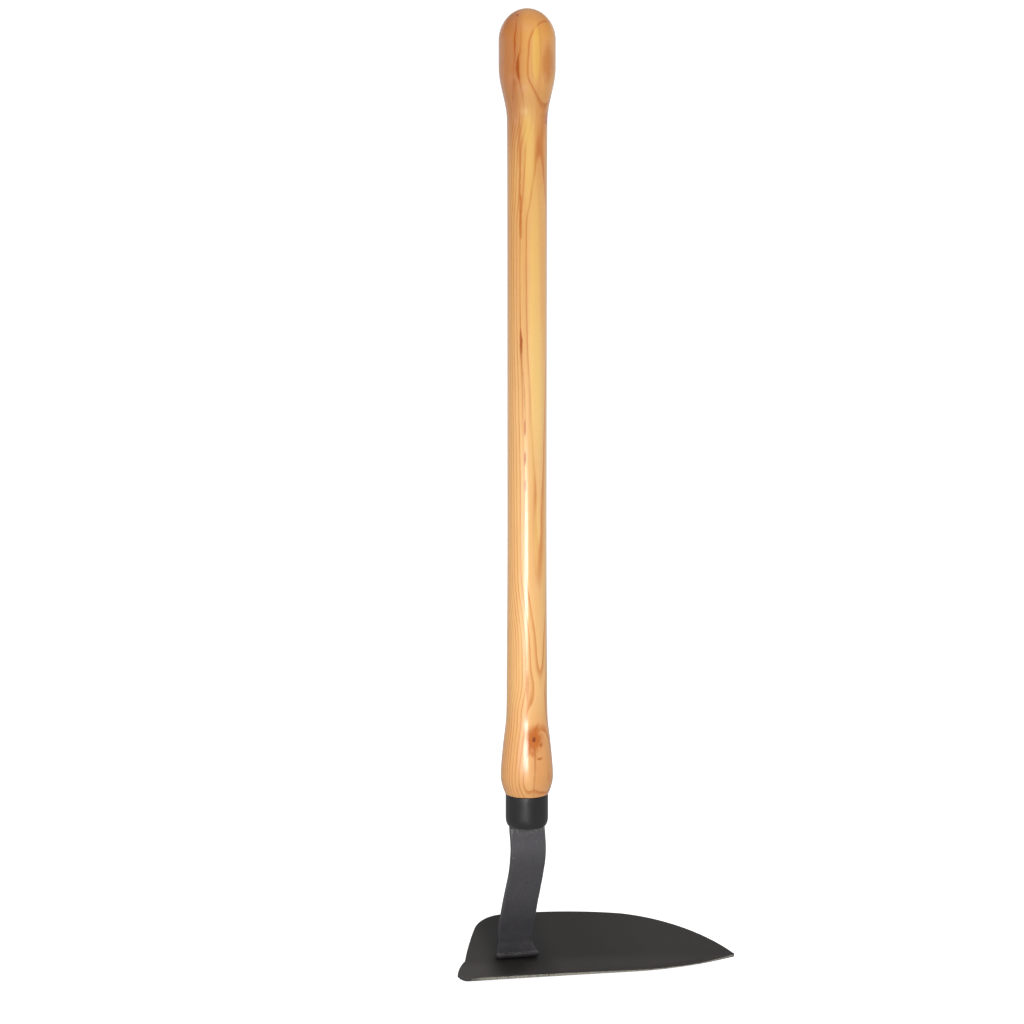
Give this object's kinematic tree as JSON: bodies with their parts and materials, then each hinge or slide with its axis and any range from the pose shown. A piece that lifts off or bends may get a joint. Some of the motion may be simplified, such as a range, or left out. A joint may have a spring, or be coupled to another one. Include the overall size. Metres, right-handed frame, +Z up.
{
  "type": "grub hoe",
  "caption": "Short-handled draw hoe: turned ash handle with a round knob, steel ferrule, forged swan neck and a wide blade that runs out to a point on one side.",
  "frame": {"origin": "point on the blade's flat underside, below the back of the heel weld, in the plane of symmetry of the neck", "axes": "+Z up along the handle towards its knob, -Y the side the cutting edge faces, +X the side the blade runs out to its point on"},
  "size_m": [0.2017, 0.0973, 0.6954],
  "materials": {
    "ash_wood": "clear lacquered, semi-gloss",
    "black_coated_steel": "satin black coating",
    "pin_steel": "plain drawn steel",
    "forged_steel": "dark forged steel under a thin clear lacquer",
    "epoxy": "cast epoxy",
    "blade_steel": "satin black steel with a ground edge",
    "weld_steel": "dark weld bead"
  },
  "bodies": {
    "root": {"ash_handle": "ash_wood", "ferrule": "black_coated_steel", "ferrule_pin": "pin_steel", "forged_neck": "forged_steel", "tang_adhesive": "epoxy", "blade": "blade_steel", "heel_weld": "weld_steel"}
  },
  "joints": []
}
